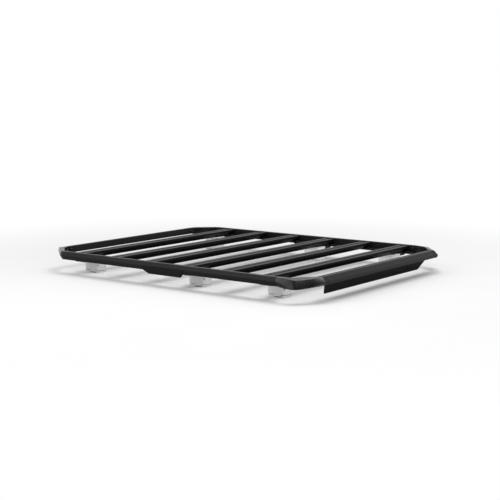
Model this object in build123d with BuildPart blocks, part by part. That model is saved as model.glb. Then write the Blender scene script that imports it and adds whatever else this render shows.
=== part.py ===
import os
from math import atan2, cos, pi, radians, sin, tan

from build123d import *

os.makedirs("parts", exist_ok=True)

# Flat platform roof rack. X runs across, the front edge faces -Y, Z is up, and z = 0 is the
# underside of the feet. The -X side is the right-hand side of the rack.

# Overall sizes
rack_width = 1250.0  # over the outer top edges of the side rails
rack_length = 1609.0  # from the front nose to the rear nose
foot_height = 79.0  # underside of the slats above what the feet stand on

# Side rails: a chevron outer face, a flat top and an inward ledge that carries the slats
rail_height = 42.0
rail_top_width = 20.0
rail_nose_out = 7.0
rail_nose_drop = 20.0
rail_foot_in = 8.0
rail_ledge_reach = 48.0
rail_ledge_thickness = 8.0
edge_radius = 1.5
nose_radius = 3.0

# Narrow grooves that show where the rails and bars meet the corner pieces
seam_gap = 3.0
seam_depth = 2.0

# Rear bar: flat top, rounded nose near the top and an undercut rear face
rear_nose_out = 5.0
rear_nose_drop = 8.0
rear_bar_height = 32.0
rear_bar_foot = 10.0
rear_undercut = 16.0

# Front bar: narrow top, long sloping front face, short chin, low underside and an inner ledge
front_top_width = 30.0
front_nose_out = 22.0
front_nose_drop = 20.0
front_chin_in = 4.0
front_chin_drop = 33.0
front_bottom_in = 42.0
front_ledge_reach = 22.0
front_joint_length = 24.0  # end sleeve between two grooves, next to the corner

# Slats
slat_count = 6
slat_width = 60.0
slat_drop = 3.0  # top of the slats below the top of the rails
slat_side_depth = 11.0
slat_foot_width = 22.0
first_slat_inset = 221.0  # from the rear nose to the middle of the rearmost slat
last_slat_inset = 250.0  # from the front nose to the middle of the foremost slat

# T-slot along the top of each slat
slot_neck = 10.0
slot_width = 20.0
slot_lip = 3.5
slot_channel_height = 8.0

# Corner pieces
front_corner_x = 117.0  # from the rail's outer top edge to the front bar's seam
front_corner_y = 183.0  # from the front nose to the rail's seam
front_corner_softness = 5.0
corner_top_round = 1.5
corner_nose_round = 2.0
corner_round_steps = 3
front_corner_sharpness = 24  # the higher, the tighter the lines turn from the rail to the bar
rear_corner_x = 135.0
rear_corner_y = 130.0
rear_corner_run = 18.0  # length on which the corner carries on straight past the rail's end
rear_corner_turn = 69.5  # where the rear corner's straight diagonal meets the bar
rear_corner_top_width = 31.0
rear_corner_outer = 133.0
rear_corner_nose_out = 5.5
rear_corner_nose_drop = 15.0
rear_corner_chin_in = 4.0

# Wind deflector hung below the front bar
deflector_half_width = 453.0
deflector_end_slant = 30.0
deflector_depth = 48.0
deflector_sweep = 25.0
deflector_end_radius = 10.0
deflector_thickness = 3.0
deflector_flange = 24.0

# Side plates laid over the rails' lower faces, reaching below them
plate_middle_y = 27.0
plate_length = 246.0
plate_bottom_length = 196.0
plate_top_gap = 4.0
plate_height = 44.0
plate_thickness = 2.5
plate_corner_radius = 3.0

# Feet below slats 1, 4 and 6, counted from the rear
foot_slats = (0, 3, 5)
foot_names = ("rear", "middle", "front")
foot_inset = 145.0  # from the rail's outer top edge to the middle of a foot
foot_rear_shift = 13.0  # middle of a foot behind the middle of its slat
foot_width = 60.0
foot_length = 101.0
base_height = 10.0
base_inset = 2.5
base_groove = 2.5  # height of the groove between the base and the cover
base_groove_depth = 5.0
cover_flare_angle = 2.0  # the cover widens towards the slat
foot_corner_radius = 14.0
tab_width = 32.0  # tab of the cover that reaches down in a pocket of the base
tab_front_shift = 8.0
tab_depth = 6.0
tab_lift = 4.0
tab_gap = 2.0
bracket_width = 56.0
bracket_drop = 16.0
bracket_lap = 18.0
bracket_round = 7.0
bracket_gap = 0.3

# Derived lines, measured from the middle of the rack
half_width = rack_width / 2
rail_inner_x = half_width - rail_top_width
ledge_x = half_width - rail_ledge_reach
ledge_top_z = foot_height
rail_bottom_z = ledge_top_z - rail_ledge_thickness
rail_top_z = rail_bottom_z + rail_height
slat_top_z = rail_top_z - slat_drop
rear_edge_y = rack_length / 2 - rear_nose_out
rear_inner_y = rear_edge_y - rail_top_width
rear_seam_x = half_width - rear_corner_x
rear_seam_y = rack_length / 2 - rear_corner_y
front_nose_y = -rack_length / 2
front_inner_y = front_nose_y + front_nose_out + front_top_width
front_seam_x = half_width - front_corner_x
front_seam_y = front_nose_y + front_corner_y
slat_pitch = (rack_length - first_slat_inset - last_slat_inset) / (slat_count - 1)
slat_ys = [rack_length / 2 - first_slat_inset - slat_pitch * i for i in range(slat_count)]
foot_x = half_width - foot_inset
sides = (("right", -1), ("left", 1))
seam_steps = ((0.0, seam_depth), (seam_gap, 0.0))  # a slim core over the full length, then the body


# Side rails between the front and rear corners
for side, s in sides:
    with BuildPart() as rail:
        for gap, inset in seam_steps:
            with BuildSketch(Plane.XZ.offset(gap - rear_seam_y)) as rail_profile:
                with BuildLine():
                    Polyline(
                        (s * rail_inner_x, rail_top_z),
                        (s * half_width, rail_top_z),
                        (s * (half_width + rail_nose_out), rail_top_z - rail_nose_drop),
                        (s * (half_width - rail_foot_in), rail_bottom_z),
                        (s * ledge_x, rail_bottom_z),
                        (s * ledge_x, ledge_top_z),
                        (s * rail_inner_x, ledge_top_z),
                        close=True,
                    )
                make_face()
                if inset:
                    offset(amount=-inset, kind=Kind.INTERSECTION, mode=Mode.REPLACE)
                else:
                    by_reach = rail_profile.vertices().sort_by(Axis.X, reverse=s > 0)
                    fillet(by_reach[0], nose_radius)
                    fillet(rail_profile.vertices().group_by(Axis.Y)[-1], edge_radius)
            extrude(amount=rear_seam_y - front_seam_y - 2 * gap)
    rail.part.label = f"{side}_side_rail"
    export_step(rail.part, f"parts/{side}_side_rail.step")


# Slats, each with a T-slot along its top
for index, slat_y in enumerate(slat_ys, start=1):
    with BuildPart() as slat:
        with BuildSketch(Plane.YZ.offset(-rail_inner_x)) as slat_profile:
            with BuildLine():
                Polyline(
                    (slat_y - slat_width / 2, slat_top_z),
                    (slat_y + slat_width / 2, slat_top_z),
                    (slat_y + slat_width / 2, slat_top_z - slat_side_depth),
                    (slat_y + slat_foot_width / 2, ledge_top_z),
                    (slat_y - slat_foot_width / 2, ledge_top_z),
                    (slat_y - slat_width / 2, slat_top_z - slat_side_depth),
                    close=True,
                )
            make_face()
            fillet(slat_profile.vertices().group_by(Axis.Y)[-1], edge_radius)
            with Locations((slat_y, slat_top_z - slot_lip / 2)):
                Rectangle(slot_neck, slot_lip, mode=Mode.SUBTRACT)
            with Locations((slat_y, slat_top_z - slot_lip - slot_channel_height / 2)):
                Rectangle(slot_width, slot_channel_height, mode=Mode.SUBTRACT)
        extrude(amount=2 * rail_inner_x)
    slat.part.label = f"slat_{index}"
    export_step(slat.part, f"parts/slat_{index}.step")


# Rear bar between the rear corners
rear_bottom_z = rail_top_z - rear_bar_height
with BuildPart() as rear_bar:
    for gap, inset in seam_steps:
        with BuildSketch(Plane.YZ.offset(gap - rear_seam_x)) as rear_profile:
            with BuildLine():
                Polyline(
                    (rear_inner_y, rail_top_z),
                    (rear_edge_y, rail_top_z),
                    (rear_edge_y + rear_nose_out, rail_top_z - rear_nose_drop),
                    (rear_edge_y - rear_undercut, rear_bottom_z),
                    (rear_edge_y - rear_undercut - rear_bar_foot, rear_bottom_z),
                    close=True,
                )
            make_face()
            if inset:
                offset(amount=-inset, kind=Kind.INTERSECTION, mode=Mode.REPLACE)
            else:
                fillet(rear_profile.vertices().group_by(Axis.Y)[-1], edge_radius)
                fillet(rear_profile.vertices().sort_by(Axis.X)[-1], edge_radius)
        extrude(amount=2 * (rear_seam_x - gap))
rear_bar.part.label = "rear_bar"
export_step(rear_bar.part, "parts/rear_bar.step")


# Front bar between the front corners: a slim core, the body, and a sleeve at each end that two
# grooves set off
front_bottom_y = front_nose_y + front_bottom_in
front_ledge_y = front_inner_y + front_ledge_reach
front_body_x = front_seam_x - front_joint_length
sleeve_length = front_joint_length - 2 * seam_gap
front_stretches = (
    (-front_seam_x, 2 * front_seam_x, seam_depth),
    (-front_body_x, 2 * front_body_x, 0.0),
    (seam_gap - front_seam_x, sleeve_length, 0.0),
    (front_body_x + seam_gap, sleeve_length, 0.0),
)
with BuildPart() as front_bar:
    for start_x, stretch_length, inset in front_stretches:
        with BuildSketch(Plane.YZ.offset(start_x)) as front_profile:
            with BuildLine():
                Polyline(
                    (front_inner_y, rail_top_z),
                    (front_inner_y - front_top_width, rail_top_z),
                    (front_nose_y, rail_top_z - front_nose_drop),
                    (front_nose_y + front_chin_in, rail_top_z - front_chin_drop),
                    (front_bottom_y, rail_bottom_z),
                    (front_ledge_y, rail_bottom_z),
                    (front_ledge_y, ledge_top_z),
                    (front_inner_y, ledge_top_z),
                    close=True,
                )
            make_face()
            if inset:
                offset(amount=-inset, kind=Kind.INTERSECTION, mode=Mode.REPLACE)
            else:
                fillet(front_profile.vertices().group_by(Axis.Y)[-1], edge_radius)
                fillet(front_profile.vertices().sort_by(Axis.X)[0], nose_radius)
        extrude(amount=stretch_length)
front_bar.part.label = "front_bar"
export_step(front_bar.part, "parts/front_bar.step")


# Corner pieces: a skin of flat facets over sections on upright planes, which fan out from a pivot
# between the rail's end and the bar's end. A section runs inner top, outer top, nose, chin, inner
# bottom; each point is its reach from the pivot and its depth below the rail's top.
rail_end_x = {"front": front_corner_x, "rear": rear_corner_x}
rail_end = {
    name: (
        (reach - rail_top_width, 0.0),
        (reach, 0.0),
        (reach + rail_nose_out, rail_nose_drop),
        (reach - rail_foot_in, rail_height),
        (reach - rail_top_width, rail_height),
    )
    for name, reach in rail_end_x.items()
}
front_end = (
    (front_corner_y - front_nose_out - front_top_width, 0.0),
    (front_corner_y - front_nose_out, 0.0),
    (front_corner_y, front_nose_drop),
    (front_corner_y - front_chin_in, front_chin_drop),
    (front_corner_y - front_bottom_in, rail_height),
)
rear_reach = rear_corner_y - rear_nose_out
rear_end = (
    (rear_reach - rail_top_width, 0.0),
    (rear_reach, 0.0),
    (rear_reach + rear_nose_out, rear_nose_drop),
    (rear_reach - rear_undercut, rear_bar_height),
    (rear_reach - rear_undercut - rear_bar_foot, rear_bar_height),
)
rear_turn = (
    (rear_corner_outer - rear_corner_top_width, 0.0),
    (rear_corner_outer, 0.0),
    (rear_corner_outer + rear_corner_nose_out, rear_corner_nose_drop),
    (rear_corner_outer - rear_corner_chin_in, rail_height),
    (rear_corner_outer - rear_corner_top_width, rail_height),
)

# In plan each line of the front corner runs straight from the rail's end, turns and runs straight
# to the bar. The first number is how far the run along the rail flares outwards, the second how
# far the run along the bar falls back, the third how far the line drops midway in rail heights.
front_lines = ((0.0, 0.8, 0.0), (0.0, 0.75, 0.1), (0.02, 0.66, 0.0), (0.17, 0.62, 0.21), (0.0, 1.0, 0.12))
# Angles of the front corner's sections, with the share by which the nose has dived to the chin
front_dive = (
    (0, 0.0),
    (5, 0.06),
    (11, 0.2),
    (17, 0.4),
    (23, 0.65),
    (28, 0.85),
    (32, 0.96),
    (36, 1.0),
    (40, 1.0),
    (45, 1.0),
    (52, 1.0),
    (60, 1.0),
    (68, 0.97),
    (74, 0.85),
    (80, 0.6),
    (85, 0.3),
    (90, 0.0),
)
nose_band = 0.1 * rail_height
front_turns = []
for angle, dive in front_dive:
    share = angle / 90
    fan = radians(angle)
    swell = sin(pi * share)
    outer_limit = front_corner_x + rail_nose_out
    section = []
    for rail_point, bar_point, line in zip(rail_end["front"], front_end, front_lines):
        flare, fall_back, drop = line
        along = max(cos(fan) - flare * sin(fan), 0) / rail_point[0]
        across = (sin(fan) + fall_back * cos(fan)) / bar_point[0]
        power = front_corner_sharpness
        reach = (along**power + across**power) ** (-1 / power)
        if reach * cos(fan) > outer_limit:
            reach = outer_limit / cos(fan)
        depth = rail_point[1] * (1 - share) + bar_point[1] * share + drop * rail_height * swell
        section.append((reach, depth))
    nose_depth = section[2][1] * (1 - dive) + (section[3][1] - nose_band) * dive
    section[2] = (section[2][0], nose_depth)
    front_turns.append((fan, section, corner_top_round + front_corner_softness * swell))
rear_bend = atan2(rear_corner_run, rear_corner_x)
rear_turns = [
    (0.0, rail_end["rear"], corner_top_round),
    (rear_bend, [(r / cos(rear_bend), d) for r, d in rail_end["rear"]], corner_top_round),
    (radians(rear_corner_turn), rear_turn, corner_top_round),
    (pi / 2, rear_end, corner_top_round),
]

corners = (
    ("front", front_seam_x, front_seam_y, -1, front_turns),
    ("rear", rear_seam_x, rear_seam_y, 1, rear_turns),
)
for side, s in sides:
    for end, pivot_x, pivot_y, e, turns in corners:
        rings = []
        for fan, section, top_round in turns:
            ring = [section[0]]
            for i, cut in ((1, top_round), (2, corner_nose_round)):
                before, spot, after = [Vector(*section[k]) for k in (i - 1, i, i + 1)]
                start = spot + (before - spot).normalized() * cut
                finish = spot + (after - spot).normalized() * cut
                for step in range(corner_round_steps + 1):
                    t = step / corner_round_steps
                    bend = start * (1 - t) ** 2 + spot * (2 * t * (1 - t)) + finish * t**2
                    ring.append((bend.X, bend.Y))
            ring += section[3:]
            rings.append(
                [
                    (s * (pivot_x + r * cos(fan)), pivot_y + e * r * sin(fan), rail_top_z - d)
                    for r, d in ring
                ]
            )
        skin = [Face(Wire.make_polygon(ring, close=True)) for ring in (rings[0], rings[-1])]
        for ring, next_ring in zip(rings, rings[1:]):
            for i in range(len(ring)):
                near, far = (ring[i - 1], ring[i]), (next_ring[i - 1], next_ring[i])
                skin.append(Face(Wire.make_polygon((*near, far[1]), close=True)))
                skin.append(Face(Wire.make_polygon((near[0], far[1], far[0]), close=True)))
        with BuildPart() as corner:
            add(Solid(Shell(skin)))
        corner.part.label = f"{side}_{end}_corner"
        export_step(corner.part, f"parts/{side}_{end}_corner.step")


# Wind deflector: a bent sheet with a flange against the front bar's underside and slanted ends
deflector_bottom_z = rail_bottom_z - deflector_depth
lean = deflector_sweep / deflector_depth
with BuildPart() as deflector:
    with BuildSketch(Plane.YZ.offset(-deflector_half_width)):
        with BuildLine():
            Polyline(
                (front_bottom_y + deflector_flange, rail_bottom_z),
                (front_bottom_y, rail_bottom_z),
                (front_bottom_y + deflector_sweep, deflector_bottom_z),
                (front_bottom_y + deflector_sweep + deflector_thickness, deflector_bottom_z),
                (
                    front_bottom_y + deflector_thickness * (1 + lean),
                    rail_bottom_z - deflector_thickness,
                ),
                (front_bottom_y + deflector_flange, rail_bottom_z - deflector_thickness),
                close=True,
            )
        make_face()
    extrude(amount=2 * deflector_half_width)
    with BuildSketch(Plane.XZ.offset(-front_ledge_y)) as deflector_outline:
        with BuildLine():
            Polyline(
                (-deflector_half_width, rail_bottom_z),
                (deflector_half_width, rail_bottom_z),
                (deflector_half_width, rail_bottom_z - deflector_thickness),
                (deflector_half_width - deflector_end_slant, deflector_bottom_z),
                (deflector_end_slant - deflector_half_width, deflector_bottom_z),
                (-deflector_half_width, rail_bottom_z - deflector_thickness),
                close=True,
            )
        make_face()
        fillet(deflector_outline.vertices().group_by(Axis.Y)[0], deflector_end_radius)
    extrude(amount=front_ledge_y - front_nose_y, mode=Mode.INTERSECT)
deflector.part.label = "wind_deflector"
export_step(deflector.part, "parts/wind_deflector.step")


# Side plates on the rails' lower faces: square shoulders above, slanted ends below the rail
face_run = rail_nose_out + rail_foot_in
face_drop = rail_height - rail_nose_drop
face_length = (face_run**2 + face_drop**2) ** 0.5
for side, s in sides:
    plate_plane = Plane(
        origin=(s * (half_width + rail_nose_out), plate_middle_y, rail_top_z - rail_nose_drop),
        x_dir=(0, s, 0),
        z_dir=(s * face_drop, 0, -face_run),
    )
    with BuildPart() as side_plate:
        with BuildSketch(plate_plane) as plate_outline:
            with BuildLine():
                Polyline(
                    (-plate_length / 2, -plate_top_gap),
                    (plate_length / 2, -plate_top_gap),
                    (plate_length / 2, -face_length),
                    (plate_bottom_length / 2, -plate_top_gap - plate_height),
                    (-plate_bottom_length / 2, -plate_top_gap - plate_height),
                    (-plate_length / 2, -face_length),
                    close=True,
                )
            make_face()
            fillet(plate_outline.vertices().group_by(Axis.Y)[0], plate_corner_radius)
        extrude(amount=plate_thickness)
    side_plate.part.label = f"{side}_side_plate"
    export_step(side_plate.part, f"parts/{side}_side_plate.step")


# Feet: a tapered cover below the slat with a tab on its outer side, a base with a pocket for the
# tab, and a bracket that ties the foot to the rail's ledge
cover_bottom_z = base_height + base_groove
neck_inset = base_inset + base_groove_depth
cover_flare = (foot_height - cover_bottom_z) * tan(radians(cover_flare_angle))
for foot_name, slat_index in zip(foot_names, foot_slats):
    foot_y = slat_ys[slat_index] + foot_rear_shift
    tab_y = foot_y - tab_front_shift
    for side, s in sides:
        tab_x = s * (foot_x + foot_width / 2 - tab_depth / 2)
        with BuildPart() as cover:
            with BuildSketch(Plane.XY.offset(cover_bottom_z)):
                with Locations((s * foot_x, foot_y)):
                    RectangleRounded(foot_width, foot_length, foot_corner_radius)
            extrude(amount=foot_height - cover_bottom_z, taper=-cover_flare_angle)
            with BuildSketch(Plane.XY.offset(tab_lift)):
                with Locations((tab_x, tab_y)):
                    Rectangle(tab_depth, tab_width)
            extrude(amount=cover_bottom_z - tab_lift)
        cover.part.label = f"{foot_name}_{side}_foot_cover"
        export_step(cover.part, f"parts/{foot_name}_{side}_foot_cover.step")

        with BuildPart() as base:
            with BuildSketch(Plane.XY):
                with Locations((s * foot_x, foot_y)):
                    RectangleRounded(
                        foot_width - 2 * base_inset,
                        foot_length - 2 * base_inset,
                        foot_corner_radius - base_inset,
                    )
            extrude(amount=base_height)
            with BuildSketch(Plane.XY.offset(base_height)):
                with Locations((s * foot_x, foot_y)):
                    Rectangle(foot_width - 2 * neck_inset, foot_length - 2 * neck_inset)
            extrude(amount=base_groove)
            with BuildSketch(Plane.XY):
                with Locations((tab_x, tab_y)):
                    Rectangle(tab_depth + 2 * tab_gap, tab_width + 2 * tab_gap)
            extrude(amount=cover_bottom_z, mode=Mode.SUBTRACT)
        base.part.label = f"{foot_name}_{side}_foot_base"
        export_step(base.part, f"parts/{foot_name}_{side}_foot_base.step")

        bracket_x = foot_x + foot_width / 2 + cover_flare + bracket_gap
        with BuildPart() as bracket:
            with BuildSketch(Plane.XZ.offset(-foot_y - bracket_width / 2)) as bracket_profile:
                with BuildLine():
                    Polyline(
                        (s * bracket_x, ledge_top_z),
                        (s * ledge_x, ledge_top_z),
                        (s * ledge_x, rail_bottom_z),
                        (s * (ledge_x + bracket_lap), rail_bottom_z),
                        (s * (ledge_x + bracket_lap), ledge_top_z - bracket_drop),
                        (s * bracket_x, ledge_top_z - bracket_drop),
                        close=True,
                    )
                make_face()
                fillet(bracket_profile.vertices().group_by(Axis.Y)[0], bracket_round)
            extrude(amount=bracket_width)
        bracket.part.label = f"{foot_name}_{side}_foot_bracket"
        export_step(bracket.part, f"parts/{foot_name}_{side}_foot_bracket.step")
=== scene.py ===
from math import cos, pi, radians, sin

import bmesh
import bpy
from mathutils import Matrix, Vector


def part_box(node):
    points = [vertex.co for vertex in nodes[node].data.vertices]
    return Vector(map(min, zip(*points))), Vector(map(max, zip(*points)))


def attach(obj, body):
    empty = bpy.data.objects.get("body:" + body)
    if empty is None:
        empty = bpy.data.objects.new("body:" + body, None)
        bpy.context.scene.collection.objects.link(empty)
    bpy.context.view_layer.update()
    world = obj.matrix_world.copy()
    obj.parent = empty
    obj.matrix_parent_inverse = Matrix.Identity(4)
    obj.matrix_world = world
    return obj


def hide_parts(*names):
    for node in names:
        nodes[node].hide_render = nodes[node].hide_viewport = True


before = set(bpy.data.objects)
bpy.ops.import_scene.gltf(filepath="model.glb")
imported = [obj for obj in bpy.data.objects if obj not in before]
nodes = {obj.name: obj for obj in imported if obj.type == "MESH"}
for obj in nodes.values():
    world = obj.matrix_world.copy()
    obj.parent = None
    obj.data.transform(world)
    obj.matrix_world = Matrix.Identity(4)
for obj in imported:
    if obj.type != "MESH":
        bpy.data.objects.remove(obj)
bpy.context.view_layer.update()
sides = {"right": -1, "left": 1}  # the right side faces the camera
feet = ("rear", "middle", "front")
slatCount = sum(name.startswith("slat_") for name in nodes)
print("frame loaded:", len(nodes), "nodes")


def addNode(tree, kind, inputs=None, **settings):
    node = tree.nodes.new(kind)
    for key, value in settings.items():
        setattr(node, key, value)
    for key, value in (inputs or {}).items():
        node.inputs[key].default_value = value
    return node


def join(tree, fromNode, fromSocket, toNode, toSocket):
    tree.links.new(fromNode.outputs[fromSocket], toNode.inputs[toSocket])


def middleOf(name):
    low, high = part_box(name)
    return (low + high) / 2


# Finishes: one per kind of surface
finishes = {
    "drawnAcross": {"colour": (0.0065, 0.0067, 0.0072), "roughness": 0.4, "specular": 0.11,
                    "lines": (3.0, 900.0, 900.0), "lineDepth": 0.05, "grain": 1500.0,
                    "grainDepth": 0.08, "edgeTone": 0.05, "edgeWidth": 0.0012, "dust": 0.12},
    "drawnAlong": {"colour": (0.0085, 0.0087, 0.0092), "roughness": 0.4, "specular": 0.2,
                   "lines": (900.0, 3.0, 900.0), "lineDepth": 0.05, "grain": 1500.0,
                   "grainDepth": 0.08, "edgeTone": 0.05, "edgeWidth": 0.0012, "dust": 0.12},
    "mouldedBlack": {"colour": (0.0045, 0.0046, 0.0048), "roughness": 0.27, "specular": 0.5,
                     "lines": (40.0, 40.0, 40.0), "lineDepth": 0.03, "grain": 900.0,
                     "grainDepth": 0.05, "edgeTone": 0.035, "edgeWidth": 0.0015, "dust": 0.15},
    "sheetBlack": {"colour": (0.007, 0.0071, 0.0074), "roughness": 0.45, "specular": 0.18,
                   "lines": (60.0, 60.0, 60.0), "lineDepth": 0.06, "grain": 700.0,
                   "grainDepth": 0.2, "edgeTone": 0.05, "edgeWidth": 0.001, "dust": 0.1},
    "deflectorBlack": {"colour": (0.007, 0.0071, 0.0074), "roughness": 0.5, "specular": 0.11,
                       "lines": (3.0, 700.0, 700.0), "lineDepth": 0.05, "grain": 700.0,
                       "grainDepth": 0.2, "edgeTone": 0.05, "edgeWidth": 0.001, "dust": 0.1},
    "bracketBlack": {"colour": (0.009, 0.009, 0.0094), "roughness": 0.5, "specular": 0.2,
                     "lines": (80.0, 80.0, 80.0), "lineDepth": 0.08, "grain": 600.0,
                     "grainDepth": 0.25, "edgeTone": 0.07, "edgeWidth": 0.0015, "dust": 0.2},
    "footGrey": {"colour": (0.78, 0.78, 0.785), "roughness": 0.5, "specular": 0.4,
                 "lines": (30.0, 30.0, 30.0), "lineDepth": 0.03, "grain": 800.0,
                 "grainDepth": 0.15, "edgeTone": 0.82, "edgeWidth": 0.0015, "dust": 0.1},
    "footBase": {"colour": (0.76, 0.76, 0.765), "roughness": 0.6, "specular": 0.3,
                 "lines": (30.0, 30.0, 30.0), "lineDepth": 0.05, "grain": 500.0,
                 "grainDepth": 0.25, "edgeTone": 0.8, "edgeWidth": 0.0015, "dust": 0.1},
    # painted shade: near-black for the bands in the feet's grooves and pockets; also the catch
    # plugs' colour
    "gapShadeAndPlugBlack": {"colour": (0.012, 0.012, 0.012), "roughness": 0.7, "specular": 0.2,
                    "lines": (120.0, 120.0, 120.0), "lineDepth": 0.05, "grain": 1200.0,
                    "grainDepth": 0.2, "edgeTone": 0.02, "edgeWidth": 0.0005, "dust": 0.1},
    # painted shade: near-black for the bands in the seam grooves
    "grooveShadeBlack": {"colour": (0.003, 0.003, 0.003), "roughness": 0.85, "specular": 0.05,
                  "lines": (120.0, 120.0, 120.0), "lineDepth": 0.05, "grain": 1200.0,
                  "grainDepth": 0.2, "edgeTone": 0.003, "edgeWidth": 0.0003, "dust": 0.0},
    "screwBlack": {"colour": (0.02, 0.02, 0.021), "roughness": 0.33, "specular": 0.5,
                   "lines": (200.0, 200.0, 200.0), "lineDepth": 0.05, "grain": 2000.0,
                   "grainDepth": 0.1, "edgeTone": 0.12, "edgeWidth": 0.0005, "dust": 0.1},
}


# What all finishes share: drift in tone, rubbed edges, dust and the spread of the gloss
wear = {
    "toneDrift": 0.15, "driftScale": 2.5, "rubScale": 60.0, "rubMost": 0.7,
    "dustColour": (0.16, 0.155, 0.15), "dustScale": 14.0, "lineHeight": 0.001,
    "grainHeight": 0.0005, "glossSpread": 0.06,
}


def coatedFinish(name, look):
    material = bpy.data.materials.new(name)
    material.use_nodes = True
    tree = material.node_tree
    shader = tree.nodes["Principled BSDF"]
    shader.inputs["Specular IOR Level"].default_value = look["specular"]
    place = addNode(tree, "ShaderNodeTexCoord")

    # slow drift in tone, as a batch of coating shows over a metre
    drift = addNode(tree, "ShaderNodeTexNoise",
                    {"Scale": wear["driftScale"], "Detail": 4.0, "Roughness": 0.6})
    join(tree, place, "Object", drift, "Vector")
    tone = addNode(tree, "ShaderNodeValToRGB")
    shades = ((0.3, 1 - wear["toneDrift"]), (0.7, 1 + wear["toneDrift"]))
    for stop, (position, share) in zip(tone.color_ramp.elements, shades):
        stop.position = position
        stop.color = (*[c * share for c in look["colour"]], 1)
    join(tree, drift, "Fac", tone, "Fac")

    # rubbed edges: where a rounded normal leaves the true one
    rounded = addNode(tree, "ShaderNodeBevel", {"Radius": look["edgeWidth"]}, samples=6)
    surface = addNode(tree, "ShaderNodeNewGeometry")
    turn = addNode(tree, "ShaderNodeVectorMath", operation="DOT_PRODUCT")
    join(tree, rounded, "Normal", turn, 0)
    join(tree, surface, "Normal", turn, 1)
    edge = addNode(tree, "ShaderNodeMapRange",
                   {"From Min": 0.99, "From Max": 0.85, "To Min": 0.0, "To Max": wear["rubMost"]})
    join(tree, turn, "Value", edge, "Value")
    rub = addNode(tree, "ShaderNodeTexNoise", {"Scale": wear["rubScale"], "Detail": 3.0})
    join(tree, place, "Object", rub, "Vector")
    worn = addNode(tree, "ShaderNodeMath", operation="MULTIPLY")
    join(tree, edge, "Result", worn, 0)
    join(tree, rub, "Fac", worn, 1)
    edged = addNode(tree, "ShaderNodeMix", data_type="RGBA")
    edged.inputs["B"].default_value = (*[look["edgeTone"]] * 3, 1)
    join(tree, worn, "Value", edged, "Factor")
    join(tree, tone, "Color", edged, "A")

    # a film of dust on what faces up
    facing = addNode(tree, "ShaderNodeSeparateXYZ")
    join(tree, surface, "Normal", facing, "Vector")
    settles = addNode(tree, "ShaderNodeMapRange",
                      {"From Min": 0.6, "From Max": 1.0, "To Min": 0.0, "To Max": look["dust"]})
    join(tree, facing, "Z", settles, "Value")
    patches = addNode(tree, "ShaderNodeTexNoise",
                      {"Scale": wear["dustScale"], "Detail": 5.0, "Roughness": 0.7})
    join(tree, place, "Object", patches, "Vector")
    film = addNode(tree, "ShaderNodeMath", operation="MULTIPLY")
    join(tree, settles, "Result", film, 0)
    join(tree, patches, "Fac", film, 1)
    dusted = addNode(tree, "ShaderNodeMix", data_type="RGBA")
    dusted.inputs["B"].default_value = (*wear["dustColour"], 1)
    join(tree, film, "Value", dusted, "Factor")
    join(tree, edged, "Result", dusted, "A")
    join(tree, dusted, "Result", shader, "Base Color")

    # die lines or mould flow, and the coating's own grain
    stretch = addNode(tree, "ShaderNodeMapping", {"Scale": look["lines"]})
    join(tree, place, "Object", stretch, "Vector")
    lines = addNode(tree, "ShaderNodeTexNoise", {"Scale": 1.0, "Detail": 2.0})
    join(tree, stretch, "Vector", lines, "Vector")
    grain = addNode(tree, "ShaderNodeTexNoise", {"Scale": look["grain"], "Detail": 2.0})
    join(tree, place, "Object", grain, "Vector")
    lineBump = addNode(tree, "ShaderNodeBump",
                       {"Strength": look["lineDepth"], "Distance": wear["lineHeight"]})
    join(tree, lines, "Fac", lineBump, "Height")
    grainBump = addNode(tree, "ShaderNodeBump",
                        {"Strength": look["grainDepth"], "Distance": wear["grainHeight"]})
    join(tree, grain, "Fac", grainBump, "Height")
    join(tree, lineBump, "Normal", grainBump, "Normal")
    join(tree, grainBump, "Normal", shader, "Normal")

    gloss = addNode(tree, "ShaderNodeMapRange",
                    {"To Min": look["roughness"] - wear["glossSpread"],
                     "To Max": look["roughness"] + wear["glossSpread"]})
    join(tree, lines, "Fac", gloss, "Value")
    dulled = addNode(tree, "ShaderNodeMath", operation="ADD", use_clamp=True)
    join(tree, gloss, "Result", dulled, 0)
    join(tree, film, "Value", dulled, 1)
    join(tree, dulled, "Value", shader, "Roughness")
    return material


coats = {name: coatedFinish(name, look) for name, look in finishes.items()}
for name, node in nodes.items():
    kind = "drawnAcross"
    for word, finish in (("side_rail", "drawnAlong"), ("corner", "mouldedBlack"),
                         ("deflector", "deflectorBlack"), ("side_plate", "sheetBlack"),
                         ("bracket", "bracketBlack"), ("cover", "footGrey"), ("base", "footBase")):
        if word in name:
            kind = finish
    for materialSlot in node.material_slots:
        materialSlot.material = coats[kind]
print("finishes made:", len(coats))


# The CAD's rail and bar sections, which the mouldings, the painted groove shade and seam screws
# follow
sections = {
    "railTop": 0.020, "railNose": 0.007, "railNoseDrop": 0.020, "railFoot": 0.008,
    "railLedge": 0.048,
    "frontTop": 0.030, "frontNose": 0.022, "frontNoseDrop": 0.020, "frontChin": 0.004,
    "frontChinDrop": 0.033, "frontBottom": 0.042, "frontLedge": 0.022,
    "rearTop": 0.020, "rearNose": 0.005, "rearNoseDrop": 0.008, "rearFoot": 0.010,
    "rearUndercut": 0.016,
}

# Front corner mouldings, smooth all round where the solids turn in flat facets
moulding = {
    "steps": 64, "arcPoints": 5,
    "sharpness": 24,  # the higher, the tighter the lines turn from the rail to the bar
    "topRound": 0.0016, "topSoftness": 0.0055, "noseRound": 0.002, "plainRound": 0.0008,
    # inner top, outer top, nose, chin, inner bottom: flare along the rail, fall-back along the
    # bar, and how far the line drops midway in rail heights
    "lines": ((0.0, 0.8, 0.0), (0.0, 0.75, 0.1), (0.02, 0.66, 0.0), (0.17, 0.62, 0.21),
              (0.0, 1.0, 0.12)),
    # the nose line dives to the chin by the first angle and rises again from the second
    "noseBand": 0.0042, "diveEnd": 34.0, "diveBend": 1.15, "riseStart": 64.0, "riseBend": 1.9,
    "creaseAngle": 35.0,
}


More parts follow.
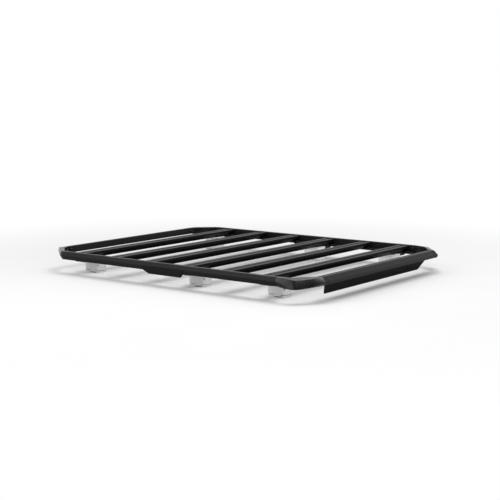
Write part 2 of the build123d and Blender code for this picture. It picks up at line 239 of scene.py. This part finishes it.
def roundedLoop(points, cuts, arcPoints):
    # each corner is cut back by its own length and rounded
    loop = []
    for i, (point, cut) in enumerate(zip(points, cuts)):
        here = Vector(point)
        start = here + (Vector(points[i - 1]) - here).normalized() * cut
        stop = here + (Vector(points[(i + 1) % len(points)]) - here).normalized() * cut
        for j in range(arcPoints + 1):
            share = j / arcPoints
            loop.append(start.lerp(here, share).lerp(here.lerp(stop, share), share))
    return loop


def noseDive(angle):
    # how far the nose line has come down to the chin, from 0 at the rail and the bar to 1
    if angle < moulding["diveEnd"]:
        share = (angle / moulding["diveEnd"]) ** moulding["diveBend"]
        return share * share * (3 - 2 * share)
    rise = min((90 - angle) / (90 - moulding["riseStart"]), 1)
    return 1 - (1 - rise) ** moulding["riseBend"]


def frontCorner(side):
    s = sides[side]
    rail, bar, slat = (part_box(n) for n in (f"{side}_side_rail", "front_bar", "slat_6"))
    topZ = rail[1].z
    height = rail[1].z - rail[0].z
    seamX, seamY = bar[1].x, rail[0].y
    railReach = slat[1].x + sections["railTop"] - seamX
    # the solid's nose is rounded, so the bar's full reach is worked back from its inner edge
    barNose = bar[1].y - sections["frontLedge"] - sections["frontTop"] - sections["frontNose"]
    barReach = seamY - barNose
    railEnd = ((railReach - sections["railTop"], 0), (railReach, 0),
               (railReach + sections["railNose"], sections["railNoseDrop"]),
               (railReach - sections["railFoot"], height),
               (railReach - sections["railTop"], height))
    barEnd = ((barReach - sections["frontNose"] - sections["frontTop"], 0),
              (barReach - sections["frontNose"], 0), (barReach, sections["frontNoseDrop"]),
              (barReach - sections["frontChin"], sections["frontChinDrop"]),
              (barReach - sections["frontBottom"], height))
    outerLimit = railReach + sections["railNose"]
    power = moulding["sharpness"]
    # sections fan out from the point where both seams would meet, from the rail's to the bar's
    verts, faces = [], []
    for step in range(moulding["steps"] + 1):
        share = step / moulding["steps"]
        swell = sin(pi * share)
        fan = pi / 2 * share
        section = []
        for a, b, (flare, fallBack, drop) in zip(railEnd, barEnd, moulding["lines"]):
            along = max(cos(fan) - flare * sin(fan), 0) / a[0]
            across = (sin(fan) + fallBack * cos(fan)) / b[0]
            reach = (along**power + across**power) ** (-1 / power)
            if reach * cos(fan) > outerLimit:
                reach = outerLimit / cos(fan)
            depth = a[1] * (1 - share) + b[1] * share + drop * height * swell
            section.append((reach, -depth))
        dive = noseDive(90 * share)
        chinDepth = section[3][1] + moulding["noseBand"]
        section[2] = (section[2][0], section[2][1] * (1 - dive) + chinDepth * dive)
        plain = moulding["plainRound"]
        cuts = (plain, moulding["topRound"] + moulding["topSoftness"] * swell,
                moulding["noseRound"], plain, plain)
        for point in roundedLoop(section, cuts, moulding["arcPoints"]):
            verts.append((s * (seamX + point.x * cos(fan)), seamY - point.x * sin(fan),
                          topZ + point.y))
    ring = len(verts) // (moulding["steps"] + 1)
    for step in range(moulding["steps"]):
        for i in range(ring):
            j = (i + 1) % ring
            here, there = step * ring, (step + 1) * ring
            faces.append((here + i, here + j, there + j, there + i)[::-s])
    last = moulding["steps"] * ring
    faces.append(tuple(range(ring))[::s])
    faces.append(tuple(range(last, last + ring))[::-s])
    name = f"{side}FrontMoulding"
    mesh = bpy.data.meshes.new(name)
    mesh.from_pydata(verts, [], faces)
    mesh.materials.append(coats["mouldedBlack"])
    mesh.shade_smooth()
    mesh.set_sharp_from_angle(angle=radians(moulding["creaseAngle"]))
    piece = bpy.data.objects.new(name, mesh)
    bpy.context.scene.collection.objects.link(piece)
    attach(piece, "root")
    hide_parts(f"{side}_front_corner")


for side in sides:
    frontCorner(side)
print("front mouldings made")


# Foot trim: painted shade as a near-black band in the groove between base and cover and a
# near-black U in the base's pocket, and a slanted catch plug on the cover's outer front corner
footTrim = {
    "coverHalfWidth": 0.030, "coverHalfLength": 0.0505, "coverRadius": 0.014,
    "grooveHeight": 0.0025, "grooveInset": 0.0012, "gapShadeWidth": 0.0037, "gapShadeRadius": 0.0105,
    "pocketDepth": 0.0052, "pocketWidth": 0.0358, "tabShift": -0.008, "pocketShadeWall": 0.0004,
    "plugHeight": 0.0395, "plugLength": 0.0095, "plugWidth": 0.0036, "plugSlant": -38.0,
    "plugProud": 0.0005, "plugSunk": 0.0006, "plugSwing": 28.0, "plugSteps": 6,
    "clearance": 0.0001,
}


def loopPrism(name, outer, inner, origin, across, up, low, high, finish):
    # a band between two loops, or a solid prism of the outer one where there is no inner loop;
    # low and high lie along the cross product of across and up
    along = Vector(across).cross(Vector(up))
    mesh = bpy.data.meshes.new(name)
    shape = bmesh.new()
    rings = []
    for loop in (outer, inner) if inner else (outer,):
        for level in (low, high):
            rings.append([shape.verts.new(Vector(origin) + Vector(across) * x + Vector(up) * y
                                          + along * level) for x, y in loop])
    count = len(outer)
    for i in range(count):
        j = (i + 1) % count
        shape.faces.new((rings[0][i], rings[0][j], rings[1][j], rings[1][i]))
        if inner:
            shape.faces.new((rings[2][j], rings[2][i], rings[3][i], rings[3][j]))
            shape.faces.new((rings[1][i], rings[1][j], rings[3][j], rings[3][i]))
            shape.faces.new((rings[0][j], rings[0][i], rings[2][i], rings[2][j]))
    if not inner:
        shape.faces.new(rings[1])
        shape.faces.new(rings[0][::-1])
    bmesh.ops.recalc_face_normals(shape, faces=shape.faces)
    shape.to_mesh(mesh)
    shape.free()
    mesh.materials.append(coats[finish])
    piece = bpy.data.objects.new(name, mesh)
    bpy.context.scene.collection.objects.link(piece)
    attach(piece, "root")


def softRectangle(halfX, halfY, radius, arcPoints=6):
    loop = []
    for quarter, (sx, sy) in enumerate(((1, 1), (-1, 1), (-1, -1), (1, -1))):
        for j in range(arcPoints + 1):
            angle = pi / 2 * (quarter + j / arcPoints)
            loop.append((sx * (halfX - radius) + radius * cos(angle),
                         sy * (halfY - radius) + radius * sin(angle)))
    return loop


# painted shade: a near-black band in the groove between base and cover
def paintFootGapShade(name, base, centre, halfX, halfY):
    inset, radius = footTrim["grooveInset"], footTrim["gapShadeRadius"]
    width, gap = footTrim["gapShadeWidth"], footTrim["clearance"]
    outer = softRectangle(halfX - inset, halfY - inset, radius)
    inner = softRectangle(halfX - inset - width, halfY - inset - width, radius - width)
    loopPrism(name, outer, inner, (centre.x, centre.y, 0), (1, 0, 0), (0, 1, 0),
              base[1].z - footTrim["grooveHeight"] + gap, base[1].z - gap,
              "gapShadeAndPlugBlack")


def paintPocketShade(name, s, base, centre, halfX):
    # painted shade: a near-black U round the pocket that the cover's tab reaches into
    edge, deep = s * halfX, s * (halfX - footTrim["pocketDepth"])
    wall, gap = footTrim["pocketShadeWall"], footTrim["clearance"]
    front = footTrim["tabShift"] - footTrim["pocketWidth"] / 2
    rear = footTrim["tabShift"] + footTrim["pocketWidth"] / 2
    shape = [(edge, front), (deep, front), (deep, rear), (edge, rear), (edge, rear - wall),
             (deep + s * wall, rear - wall), (deep + s * wall, front + wall),
             (edge, front + wall)]
    loopPrism(name, shape, None, (centre.x, centre.y, 0), (1, 0, 0), (0, 1, 0), gap,
              base[1].z - footTrim["grooveHeight"] - gap, "gapShadeAndPlugBlack")


def catchPlug(name, s, cover, centre):
    slant, swing = radians(footTrim["plugSlant"]), radians(footTrim["plugSwing"])
    width, steps = footTrim["plugWidth"], footTrim["plugSteps"]
    toEnd = (footTrim["plugLength"] - width) / 2
    outline = []
    for end in (1, -1):
        for j in range(steps + 1):
            angle = pi * j / steps - pi / 2 * end
            x, y = end * toEnd + width / 2 * cos(angle), width / 2 * sin(angle)
            outline.append((-s * (x * cos(slant) - y * sin(slant)),
                            x * sin(slant) + y * cos(slant)))
    # the cover leans out a little towards its top, and the plug sits on its rounded corner
    height, radius = footTrim["plugHeight"], footTrim["coverRadius"]
    topReach = (cover[1].x - cover[0].x) / 2
    lean = (topReach - footTrim["coverHalfWidth"]) * height / cover[1].z
    outwards = footTrim["coverHalfWidth"] + lean - radius * (1 - cos(swing))
    forward = footTrim["coverHalfLength"] + lean - radius * (1 - sin(swing))
    origin = (s * (abs(centre.x) + outwards), centre.y - forward, height)
    loopPrism(name, outline, None, origin, (sin(swing), s * cos(swing), 0), (0, 0, 1),
              -footTrim["plugSunk"], footTrim["plugProud"], "gapShadeAndPlugBlack")


for foot in feet:
    for side, s in sides.items():
        cover, base = (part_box(f"{foot}_{side}_foot_{part}") for part in ("cover", "base"))
        centre, half = (base[0] + base[1]) / 2, (base[1] - base[0]) / 2
        label = f"{foot}{side.title()}"
        paintFootGapShade(f"{label}GapShade", base, centre, half.x, half.y)
        paintPocketShade(f"{label}PocketShade", s, base, centre, half.x)
        catchPlug(f"{label}Catch", s, cover, centre)
print("foot trim made")


# Painted shade in the grooves where rails and bars meet the corners: near-black bands that lie
# just over the slim core
grooveShadeBands = {
    "width": 0.0028, "thickness": 0.0013, "aboveCore": 0.0001,
    "grooveDepth": 0.002, "grooveWidth": 0.003, "jointLength": 0.024,
}


def insetLoop(points, amount):
    # each edge moves inwards by the amount, corners stay sharp
    area = sum(a[0] * b[1] - b[0] * a[1] for a, b in zip(points, points[1:] + points[:1]))
    turn = 1 if area > 0 else -1
    moved = []
    for i, here in enumerate(points):
        before, after = Vector(points[i - 1]), Vector(points[(i + 1) % len(points)])
        here = Vector(here)
        normals = []
        for edge in (here - before, after - here):
            edge.normalize()
            normals.append(Vector((-edge.y, edge.x)) * turn)
        bisector = normals[0] + normals[1]
        moved.append(tuple(here + bisector * (amount * 2 / bisector.length_squared)))
    return moved


# painted shade: one near-black band round a section, inside its groove
def shadeBand(name, section, across, centre):
    # centre is where the groove's middle lies along the way the rail or bar runs
    deepest = grooveShadeBands["grooveDepth"] - grooveShadeBands["aboveCore"]
    half = grooveShadeBands["width"] / 2
    outer, inner = (insetLoop(section, d) for d in (deepest - grooveShadeBands["thickness"], deepest))
    loopPrism(name, outer, inner, (0, 0, 0), across, (0, 0, 1), centre - half, centre + half,
              "grooveShadeBlack")


def layGrooveShade():
    slat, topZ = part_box("slat_1"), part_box("left_side_rail")[1].z
    bottomZ, ledgeZ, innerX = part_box("left_side_rail")[0].z, slat[0].z, slat[1].x
    halfGap = grooveShadeBands["grooveWidth"] / 2

    # rails: across +X and up +Z, so the band runs along -Y
    topX = innerX + sections["railTop"]
    ledgeX = topX - sections["railLedge"]
    railSection = [(innerX, topZ), (topX, topZ),
                   (topX + sections["railNose"], topZ - sections["railNoseDrop"]),
                   (topX - sections["railFoot"], bottomZ), (ledgeX, bottomZ),
                   (ledgeX, ledgeZ), (innerX, ledgeZ)]
    for side, s in sides.items():
        low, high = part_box(f"{side}_side_rail")
        for end, y in (("Front", low.y + halfGap), ("Rear", high.y - halfGap)):
            shadeBand(f"{side}Rail{end}GrooveShade", [(s * x, z) for x, z in railSection], (1, 0, 0), -y)

    # bars: across +Y and up +Z, so the band runs along +X
    front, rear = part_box("front_bar"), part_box("rear_bar")
    innerY = front[1].y - sections["frontLedge"]
    topY = innerY - sections["frontTop"]
    noseY = topY - sections["frontNose"]
    frontSection = [(innerY, topZ), (topY, topZ), (noseY, topZ - sections["frontNoseDrop"]),
                    (noseY + sections["frontChin"], topZ - sections["frontChinDrop"]),
                    (noseY + sections["frontBottom"], bottomZ), (front[1].y, bottomZ),
                    (front[1].y, ledgeZ), (innerY, ledgeZ)]
    edgeY = rear[0].y + sections["rearTop"]
    footY = edgeY - sections["rearUndercut"]
    rearSection = [(rear[0].y, topZ), (edgeY, topZ),
                   (edgeY + sections["rearNose"], topZ - sections["rearNoseDrop"]),
                   (footY, rear[0].z), (footY - sections["rearFoot"], rear[0].z)]
    for side, s in sides.items():
        for label, section, x in (
            ("BarOuter", frontSection, front[1].x - halfGap),
            ("BarInner", frontSection, front[1].x - grooveShadeBands["jointLength"] + halfGap),
            ("Rear", rearSection, rear[1].x - halfGap),
        ):
            shadeBand(f"{side}{label}GrooveShade", section, (0, 1, 0), s * x)


layGrooveShade()
print("grooveShadeStrips made")


# Screws: button heads with a hex socket, set on points that carry the way each one faces
def screwTree():
    tree = bpy.data.node_groups.new("buttonHeads", "GeometryNodeTree")
    tree.interface.new_socket("Geometry", in_out="INPUT", socket_type="NodeSocketGeometry")
    for label in ("Head radius", "Head height", "Socket radius"):
        tree.interface.new_socket(label, in_out="INPUT", socket_type="NodeSocketFloat")
    tree.interface.new_socket("Finish", in_out="INPUT", socket_type="NodeSocketMaterial")
    tree.interface.new_socket("Geometry", in_out="OUTPUT", socket_type="NodeSocketGeometry")
    given = addNode(tree, "NodeGroupInput")
    result = addNode(tree, "NodeGroupOutput")

    def scaled(socketName, factor):
        node = addNode(tree, "ShaderNodeMath", operation="MULTIPLY")
        node.inputs[1].default_value = factor
        join(tree, given, socketName, node, 0)
        return node

    # washer face, dome and socket stand on z = 0: sides, depth and lift in head heights, then
    # what share of which given radius each radius input takes
    parts = {}
    for part, vertices, depth, lift, radii in (
        ("washer", 20, 0.3, 0.0, {"Radius": ("Head radius", 1.0)}),
        ("dome", 20, 0.75, 0.25, {"Radius Top": ("Head radius", 0.55),
                                  "Radius Bottom": ("Head radius", 0.9)}),
        ("socket", 6, 1.0, 0.55, {"Radius": ("Socket radius", 1.0)}),
    ):
        kind = "GeometryNodeMeshCone" if part == "dome" else "GeometryNodeMeshCylinder"
        shape = addNode(tree, kind, {"Vertices": vertices})
        join(tree, scaled("Head height", depth), "Value", shape, "Depth")
        for socket, (source, factor) in radii.items():
            join(tree, scaled(source, factor), "Value", shape, socket)
        # a cylinder is made round its middle, a cone stands on its base
        rise = scaled("Head height", lift if part == "dome" else lift + depth / 2)
        height = addNode(tree, "ShaderNodeCombineXYZ")
        join(tree, rise, "Value", height, "Z")
        moved = addNode(tree, "GeometryNodeTransform")
        join(tree, shape, "Mesh", moved, "Geometry")
        join(tree, height, "Vector", moved, "Translation")
        parts[part] = moved
    recess = addNode(tree, "GeometryNodeMeshBoolean", operation="DIFFERENCE")
    join(tree, parts["dome"], "Geometry", recess, "Mesh 1")
    join(tree, parts["socket"], "Geometry", recess, "Mesh 2")
    head = addNode(tree, "GeometryNodeJoinGeometry")
    join(tree, parts["washer"], "Geometry", head, "Geometry")
    join(tree, recess, "Mesh", head, "Geometry")

    way = addNode(tree, "GeometryNodeInputNamedAttribute", {"Name": "facing"},
                  data_type="FLOAT_VECTOR")
    turned = addNode(tree, "FunctionNodeAlignRotationToVector", axis="Z")
    join(tree, way, "Attribute", turned, "Vector")
    spread = addNode(tree, "GeometryNodeInstanceOnPoints")
    join(tree, given, "Geometry", spread, "Points")
    join(tree, head, "Geometry", spread, "Instance")
    join(tree, turned, "Rotation", spread, "Rotation")
    real = addNode(tree, "GeometryNodeRealizeInstances")
    join(tree, spread, "Instances", real, "Geometry")
    painted = addNode(tree, "GeometryNodeSetMaterial")
    join(tree, real, "Geometry", painted, "Geometry")
    join(tree, given, "Finish", painted, "Material")
    join(tree, painted, "Geometry", result, "Geometry")
    return tree


buttonHeads = screwTree()


def setScrews(name, spots, settings):
    mesh = bpy.data.meshes.new(name)
    mesh.from_pydata([spot for spot, _ in spots], [], [])
    facing = mesh.attributes.new("facing", "FLOAT_VECTOR", "POINT")
    facing.data.foreach_set("vector", [c for _, way in spots for c in way])
    holder = bpy.data.objects.new(name + "Points", mesh)
    bpy.context.scene.collection.objects.link(holder)
    spread = holder.modifiers.new("heads", "NODES")
    spread.node_group = buttonHeads
    values = {**settings, "Finish": coats["screwBlack"]}
    for item in buttonHeads.interface.items_tree:
        if item.in_out == "INPUT" and item.name in values:
            spread[item.identifier] = values[item.name]
    bpy.context.view_layer.update()
    ready = holder.evaluated_get(bpy.context.evaluated_depsgraph_get())
    heads = bpy.data.objects.new(name, bpy.data.meshes.new_from_object(ready))
    bpy.context.scene.collection.objects.link(heads)
    bpy.data.objects.remove(holder)
    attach(heads, "root")


slatBolts = {"Head radius": 0.0048, "Head height": 0.0034, "Socket radius": 0.002,
             "fromSlat": 0.0232, "intoRail": 0.014}
seamScrews = {"Head radius": 0.0045, "Head height": 0.0025, "Socket radius": 0.0018,
              "fromSeam": 0.014, "belowTop": 0.013}
deflectorScrews = {"Head radius": 0.0045, "Head height": 0.0025, "Socket radius": 0.0018,
                   "count": 6, "span": 0.78, "fromEdge": 0.007, "sheet": 0.003}
bracketBolts = {"Head radius": 0.0075, "Head height": 0.005, "Socket radius": 0.003,
                "along": 0.015, "outwards": 0.045}

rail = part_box("left_side_rail")
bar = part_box("front_bar")
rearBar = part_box("rear_bar")
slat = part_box("slat_1")
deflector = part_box("wind_deflector")
ledgeZ, topZ, innerX = slat[0].z, rail[1].z, slat[1].x

spots = []
for i in range(1, slatCount + 1):
    slatY = middleOf(f"slat_{i}").y
    for s in sides.values():
        for step in (-1, 1):
            y = slatY + step * slatBolts["fromSlat"]
            spots.append(((s * (innerX - slatBolts["intoRail"]), y, ledgeZ), (0, 0, 1)))
setScrews("slatBolts", spots, slatBolts)

spots = []
screwZ = topZ - seamScrews["belowTop"]
for s in sides.values():
    for seamY, step in ((rail[0].y, 1), (rail[1].y, -1)):
        spots.append(((s * innerX, seamY + step * seamScrews["fromSeam"], screwZ), (-s, 0, 0)))
    for end, y, way in ((bar, bar[1].y - sections["frontLedge"], 1), (rearBar, rearBar[0].y, -1)):
        spots.append(((s * (end[1].x - seamScrews["fromSeam"]), y, screwZ), (0, way, 0)))
setScrews("seamScrews", spots, seamScrews)

spots = []
flangeY = deflector[1].y - deflectorScrews["fromEdge"]
flangeZ = deflector[1].z - deflectorScrews["sheet"]
for i in range(deflectorScrews["count"]):
    x = (i / (deflectorScrews["count"] - 1) - 0.5) * deflectorScrews["span"]
    spots.append(((x, flangeY, flangeZ), (0, 0, -1)))
setScrews("deflectorScrews", spots, deflectorScrews)

spots = []
for foot in feet:
    for side, s in sides.items():
        low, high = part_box(f"{foot}_{side}_foot_bracket")
        for step in (-1, 1):
            x = s * (min(abs(low.x), abs(high.x)) + bracketBolts["outwards"])
            y = (low.y + high.y) / 2 + step * bracketBolts["along"]
            spots.append(((x, y, low.z), (0, 0, -1)))
setScrews("bracketBolts", spots, bracketBolts)
print("screws set")


# Floor, light and camera
studio = {
    "floorHalf": 9.0, "floorTone": 0.84, "toneSpread": 0.02, "fibreScale": 3.0,
    "floorRoughness": 0.9, "floorSpecular": 0.1,
    "floorFadeFrom": 0.5, "floorFadeTo": 2.6, "surround": 0.62,
    # power, place, point aimed at, size, whether it shows in reflections, whether it lights
    "lamps": {"top": (50.0, (0.15, -0.7, 3.1), (0, 0, 0), 2.1, True, True),
              "side": (14.0, (-2.6, 0.9, 2.0), (0, 0, 0), 1.4, False, True),
              "front": (20.0, (-2.9, -2.6, 1.4), (0, 0, 0), 1.6, False, True),
              "rim": (4.5, (-2.7, 1.0, 1.3), (0, 0, 0), 1.2, True, True),
              "glint": (1.9, (-0.44, -1.38, 1.47), (-0.5, -0.79, 0.1), 0.25, True, False)},
    # painted shade: cards that only reflections see, dark in the air before the near front corner
    # and under the rack, grey round it: tone, place, point faced, width, height
    "reflectedShadeCards": {"frontCard": (0.02, (-1.31, -2.5, 1.75), (-0.56, -0.75, 0.1), 3.1, 2.7),
              "innerCard": (0.02, (0.0, 0.03, 0.002), (0.0, 0.031, 1.0), 1.16, 1.5),
              "outerCard": (0.4, (-0.2, 0.38, 0.001), (-0.2, 0.381, 1.0), 2.8, 2.4)},
}
# the focal length is in the photo's pixels
camera = {"place": (-4.5167, -3.4074, 0.9094), "lookAt": (-0.08395, -0.07705, 0.12225),
          "focalPixels": 1131.58, "photoPixels": 500, "sensor": 36.0, "clipEnd": 100.0}


def seenRays(tree):
    # 1 for a ray by which something is seen, straight or in a reflection
    path = addNode(tree, "ShaderNodeLightPath")
    seen = addNode(tree, "ShaderNodeMath", operation="ADD", use_clamp=True)
    join(tree, path, "Is Camera Ray", seen, 0)
    join(tree, path, "Is Glossy Ray", seen, 1)
    return path, seen


def palePaper():
    # it fades to plain white away from the rack, but lights the rack as paper everywhere
    paper = bpy.data.materials.new("palePaper")
    paper.use_nodes = True
    tree = paper.node_tree
    shader = tree.nodes["Principled BSDF"]
    shader.inputs["Roughness"].default_value = studio["floorRoughness"]
    shader.inputs["Specular IOR Level"].default_value = studio["floorSpecular"]
    place = addNode(tree, "ShaderNodeTexCoord")
    fibres = addNode(tree, "ShaderNodeTexNoise", {"Scale": studio["fibreScale"], "Detail": 4.0})
    join(tree, place, "Object", fibres, "Vector")
    tint = addNode(tree, "ShaderNodeMapRange",
                   {"To Min": studio["floorTone"] - studio["toneSpread"],
                    "To Max": studio["floorTone"] + studio["toneSpread"]})
    join(tree, fibres, "Fac", tint, "Value")
    join(tree, tint, "Result", shader, "Base Color")
    away = addNode(tree, "ShaderNodeVectorMath", operation="LENGTH")
    join(tree, place, "Object", away, 0)
    fade = addNode(tree, "ShaderNodeMapRange",
                   {"From Min": studio["floorFadeFrom"], "From Max": studio["floorFadeTo"]},
                   interpolation_type="SMOOTHSTEP")
    join(tree, away, "Value", fade, "Value")
    _, seen = seenRays(tree)
    share = addNode(tree, "ShaderNodeMath", operation="MULTIPLY")
    join(tree, fade, "Result", share, 0)
    join(tree, seen, "Value", share, 1)
    white = addNode(tree, "ShaderNodeEmission", {"Color": (1, 1, 1, 1), "Strength": 1.0})
    blend = addNode(tree, "ShaderNodeMixShader")
    join(tree, share, "Value", blend, 0)
    join(tree, shader, "BSDF", blend, 1)
    join(tree, white, "Emission", blend, 2)
    join(tree, blend, "Shader", tree.nodes["Material Output"], "Surface")
    return paper


def layFloor():
    half = studio["floorHalf"]
    corners = [(x * half, y * half, 0) for x, y in ((-1, -1), (1, -1), (1, 1), (-1, 1))]
    mesh = bpy.data.meshes.new("floor")
    mesh.from_pydata(corners, [], [(0, 1, 2, 3)])
    mesh.materials.append(palePaper())
    floor = bpy.data.objects.new("floor", mesh)
    bpy.context.scene.collection.objects.link(floor)


def surroundLight():
    # white where it is seen, dimmer where it lights
    world = bpy.data.worlds.new("studio")
    bpy.context.scene.world = world
    world.use_nodes = True
    tree = world.node_tree
    background = tree.nodes["Background"]
    background.inputs["Color"].default_value = (1, 1, 1, 1)
    path, seen = seenRays(tree)
    seenThrough = addNode(tree, "ShaderNodeMath", operation="ADD", use_clamp=True)
    join(tree, seen, "Value", seenThrough, 0)
    join(tree, path, "Is Transmission Ray", seenThrough, 1)
    level = addNode(tree, "ShaderNodeMapRange", {"To Min": studio["surround"], "To Max": 1.0})
    join(tree, seenThrough, "Value", level, "Value")
    join(tree, level, "Result", background, "Strength")


def placeShadeCard(name, tone, place, faced, width, height):
    # painted shade: dark and grey cards, seen only in reflections, give the black coats their dark
    # sides
    paint = bpy.data.materials.new(name)
    paint.use_nodes = True
    shader = paint.node_tree.nodes["Principled BSDF"]
    shader.inputs["Base Color"].default_value = (tone, tone, tone, 1)
    shader.inputs["Specular IOR Level"].default_value = 0.0
    w, h = width / 2, height / 2
    mesh = bpy.data.meshes.new(name)
    mesh.from_pydata([(-w, 0, -h), (w, 0, -h), (w, 0, h), (-w, 0, h)], [], [(0, 1, 2, 3)])
    mesh.materials.append(paint)
    card = bpy.data.objects.new(name, mesh)
    card.location = place
    card.rotation_euler = (Vector(faced) - Vector(place)).to_track_quat("Y", "Z").to_euler()
    card.visible_camera = card.visible_diffuse = card.visible_shadow = False
    bpy.context.scene.collection.objects.link(card)


def placeLamp(name, power, place, aim, size, reflected, lights):
    lamp = bpy.data.lights.new(name, "AREA")
    lamp.energy = power
    lamp.size = size
    holder = bpy.data.objects.new(name, lamp)
    holder.location = place
    holder.rotation_euler = (Vector(aim) - Vector(place)).to_track_quat("-Z", "Y").to_euler()
    holder.visible_glossy, holder.visible_diffuse = reflected, lights
    holder.visible_camera = False
    bpy.context.scene.collection.objects.link(holder)


def setCamera():
    lens = bpy.data.cameras.new("camera")
    lens.sensor_width = camera["sensor"]
    lens.lens = camera["focalPixels"] / camera["photoPixels"] * camera["sensor"]
    lens.clip_end = camera["clipEnd"]
    viewer = bpy.data.objects.new("camera", lens)
    viewer.location = camera["place"]
    line = Vector(camera["lookAt"]) - Vector(camera["place"])
    viewer.rotation_euler = line.to_track_quat("-Z", "Y").to_euler()
    bpy.context.scene.collection.objects.link(viewer)
    bpy.context.scene.camera = viewer


layFloor()
surroundLight()
for name, card in studio["reflectedShadeCards"].items():
    placeShadeCard(name, *card)
for name, lamp in studio["lamps"].items():
    placeLamp(name, *lamp)
setCamera()
bpy.context.scene.view_settings.view_transform = "Standard"
print("studio ready")
